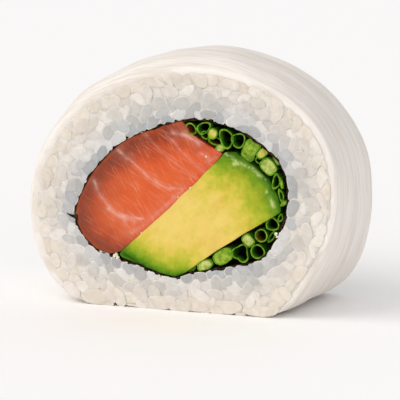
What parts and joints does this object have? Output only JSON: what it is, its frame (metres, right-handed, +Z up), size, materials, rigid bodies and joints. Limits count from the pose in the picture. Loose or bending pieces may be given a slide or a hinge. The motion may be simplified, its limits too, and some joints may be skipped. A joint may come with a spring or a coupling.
{
  "type": "uramaki roll",
  "caption": "Cut slice of an inside-out sushi roll: salmon, avocado and chives in a nori sheet, inside a thick ring of rice with a thin pale wrap.",
  "frame": {"origin": "on the surface it rests on, under the middle of the roll", "axes": "+X to the right across the cut face, +Y along the roll away from the front cut face, +Z up"},
  "size_m": [0.0614, 0.025, 0.0479],
  "materials": {
    "wrap_sheet": "thin moist pale wrap sheet, satin",
    "cooked_rice": "moist translucent cooked short-grain rice",
    "nori_sheet": "dark damp seaweed sheet",
    "salmon_flesh": "raw fish, moist, with pale fat lines",
    "avocado_flesh": "ripe fruit flesh, buttery, green towards the skin side",
    "chive_green": "fresh cut hollow green stems"
  },
  "bodies": {
    "root": {"outer_wrap": "wrap_sheet", "rice": "cooked_rice", "nori": "nori_sheet", "salmon": "salmon_flesh", "avocado": "avocado_flesh", "chives_upper": "chive_green", "chives_lower": "chive_green"}
  },
  "joints": []
}
